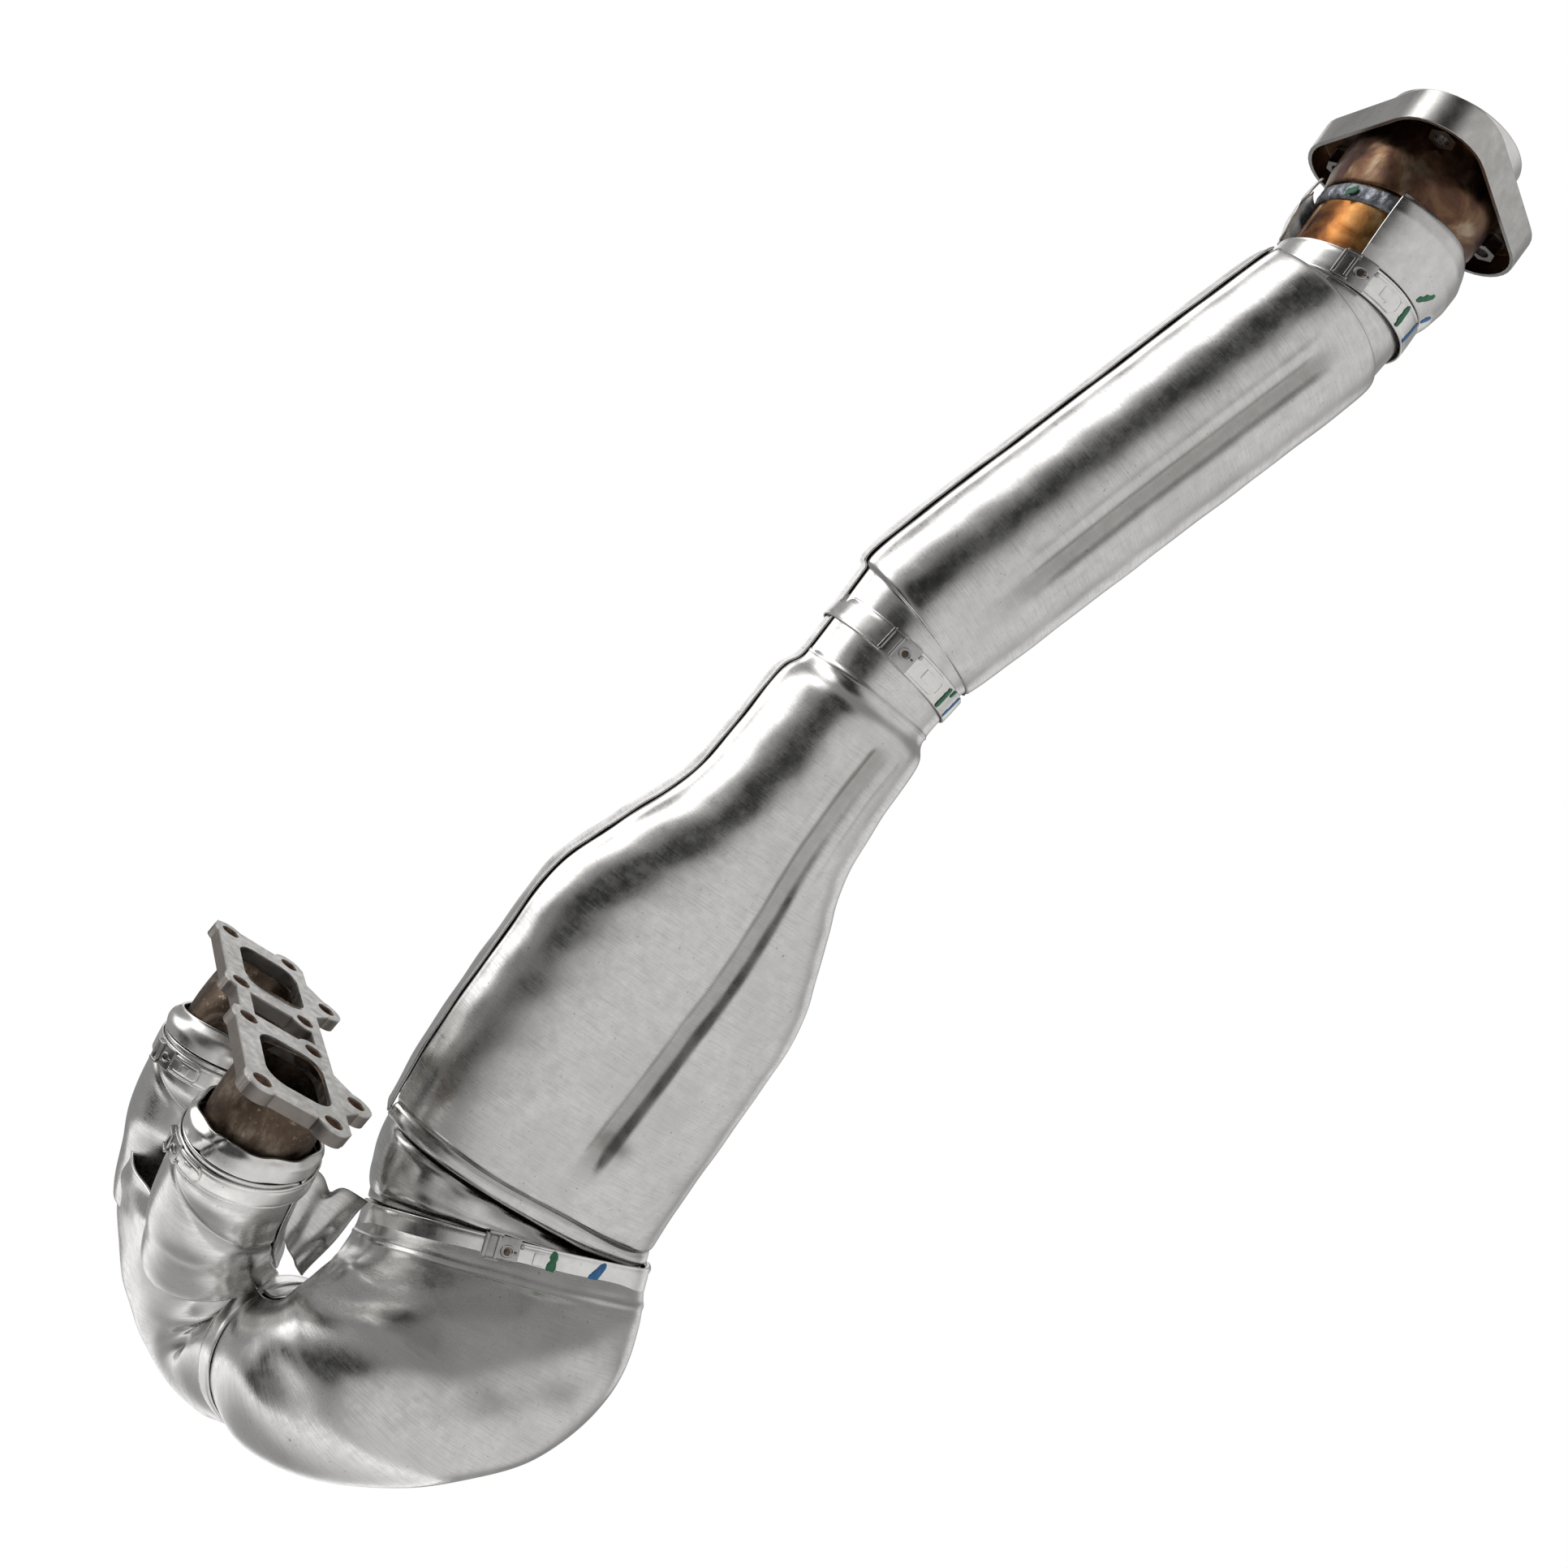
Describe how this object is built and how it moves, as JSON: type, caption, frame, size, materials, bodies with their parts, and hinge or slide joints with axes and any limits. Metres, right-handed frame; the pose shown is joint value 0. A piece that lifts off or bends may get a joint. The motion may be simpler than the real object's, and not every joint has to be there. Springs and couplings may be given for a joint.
{
  "type": "racing exhaust system",
  "caption": "Shielded racing exhaust: two primaries merge into an oval can, then a round can and a flanged outlet, held by strap clamps.",
  "frame": {"origin": "centre of the head flange's gasket face, midway between the two ports", "axes": "+Z is the gasket face's outward normal, into the cylinder head; +X points to the near port; +Y points towards the two cans"},
  "size_m": [0.1963, 0.2353, 0.7897],
  "materials": {
    "flange_steel": "machined, slightly scaled",
    "shield_steel": "satin rolled sheet with light stains",
    "band_steel": "bright satin",
    "dark_pipe": "heat stained",
    "tinted_steel": "straw to brown heat tint",
    "ceramic": "matt",
    "wool": "matt"
  },
  "bodies": {
    "root": {"head_flange": "flange_steel", "primary_pipe_far": "dark_pipe", "primary_pipe_near": "dark_pipe", "merge_collector": "dark_pipe", "collar_far": "band_steel", "collar_near": "band_steel", "band_far": "band_steel", "band_near": "band_steel", "buckle_far": "band_steel", "buckle_near": "band_steel", "limb_shield_far_front": "shield_steel", "limb_shield_far_back": "shield_steel", "limb_shield_near_front": "shield_steel", "limb_shield_near_back": "shield_steel", "merge_shield_front": "shield_steel", "merge_shield_back": "shield_steel", "web_panel": "shield_steel", "band_collector": "band_steel", "buckle_collector": "band_steel", "elbow_shield_front": "shield_steel", "elbow_shield_back": "shield_steel", "elbow_pipe": "dark_pipe", "band_oval": "band_steel", "buckle_oval": "band_steel", "elbow_neck_bead": "shield_steel", "mid_shield_front": "shield_steel", "mid_shield_back": "shield_steel", "catalyst_casing": "dark_pipe", "catalyst_mat": "wool", "catalyst_monolith": "ceramic", "band_mid": "band_steel", "buckle_mid": "band_steel", "link_pipe": "dark_pipe", "upper_shield_front": "shield_steel", "upper_shield_back": "shield_steel", "silencer_casing": "dark_pipe", "silencer_core": "dark_pipe", "silencer_packing": "wool", "band_top": "band_steel", "buckle_top": "band_steel", "tail_shield_front": "shield_steel", "tail_shield_back": "shield_steel", "outlet_pipe": "tinted_steel", "outlet_weld": "tinted_steel", "outlet_bell": "tinted_steel", "outlet_flange": "shield_steel", "outlet_nuts": "band_steel", "outlet_spigot": "shield_steel"}
  },
  "joints": []
}
